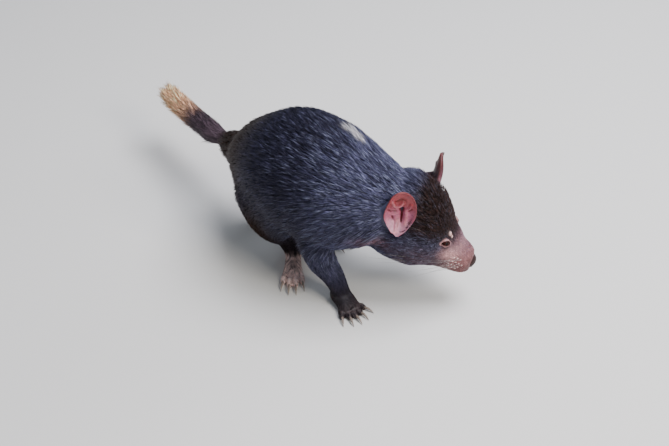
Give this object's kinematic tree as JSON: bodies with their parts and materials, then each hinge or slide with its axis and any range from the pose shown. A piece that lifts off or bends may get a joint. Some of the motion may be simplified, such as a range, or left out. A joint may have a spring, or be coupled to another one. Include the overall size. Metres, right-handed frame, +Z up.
{
  "type": "tasmanian devil",
  "caption": "Life-size still model of a standing Tasmanian devil with an arched back, a low head turned to its left, upright ears and a bushy tail held out behind.",
  "frame": {"origin": "centre of the bounding box in plan, at the floor under the paws", "axes": "+X along the trunk towards the head, +Y to the animal's left, +Z up"},
  "size_m": [0.6162, 0.2248, 0.2756],
  "materials": {
    "coat": "short dense black fur with a blue-grey sheen",
    "ear_skin": "thin bare pinkish-red skin",
    "nose_skin": "moist dark bare skin",
    "eye": "wet, dark and glossy",
    "paw_skin": "bare grey-pink skin with horn claws",
    "brush_hair": "long coarse mauve-brown hair with a pale frayed tip"
  },
  "bodies": {
    "root": {"torso": "coat", "neck": "coat", "head": "coat", "eye_left": "eye", "eye_right": "eye", "nose": "nose_skin", "ear_right": "ear_skin", "ear_left": "ear_skin", "tail_root": "coat", "tail_brush": "brush_hair", "front_right_leg": "coat", "front_left_leg": "coat", "hind_right_leg": "coat", "hind_left_leg": "coat", "front_right_paw": "paw_skin", "front_left_paw": "paw_skin", "hind_right_paw": "paw_skin", "hind_left_paw": "paw_skin"}
  },
  "joints": []
}
